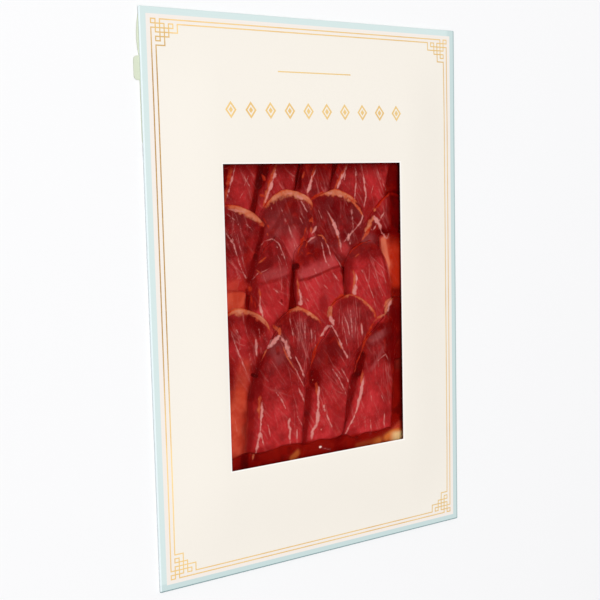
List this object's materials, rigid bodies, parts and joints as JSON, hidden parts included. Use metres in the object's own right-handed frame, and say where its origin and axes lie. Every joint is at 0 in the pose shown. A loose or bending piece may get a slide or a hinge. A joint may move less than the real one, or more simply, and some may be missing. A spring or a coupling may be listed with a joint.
{
  "type": "window pack of sliced cured pork loin",
  "caption": "Flat card window pack of thinly sliced cured pork loin, with overlapping slices under clear film behind a cut window and a closing flap on its back.",
  "frame": {"origin": "middle of the pack's outline, on the surface that its back lies on", "axes": "+X to the pack's right, +Y to its top edge, +Z out of its printed front"},
  "size_m": [0.1676, 0.24, 0.0046],
  "materials": {
    "card": "matt coated card printed in cream and pale aqua with gold foil lines",
    "flap_card": "matt pale green card",
    "clear_film": "clear glossy vacuum film over dark red meat",
    "cured_loin": "cured pork loin, deep red lean with pale marbling and peach fat rims, moist"
  },
  "bodies": {
    "root": {"card_sleeve": "card", "closing_flap": "flap_card", "vacuum_pouch": "clear_film", "slice_a4": "cured_loin", "slice_a3": "cured_loin", "slice_a2": "cured_loin", "slice_a1": "cured_loin", "slice_b4": "cured_loin", "slice_b3": "cured_loin", "slice_b2": "cured_loin", "slice_b1": "cured_loin", "slice_c4": "cured_loin", "slice_c3": "cured_loin", "slice_c2": "cured_loin", "slice_c1": "cured_loin", "slice_c0": "cured_loin", "slice_d4": "cured_loin", "slice_d3": "cured_loin", "slice_d2": "cured_loin", "slice_d1": "cured_loin", "slice_e3": "cured_loin", "slice_e2": "cured_loin", "slice_e1": "cured_loin"}
  },
  "joints": []
}
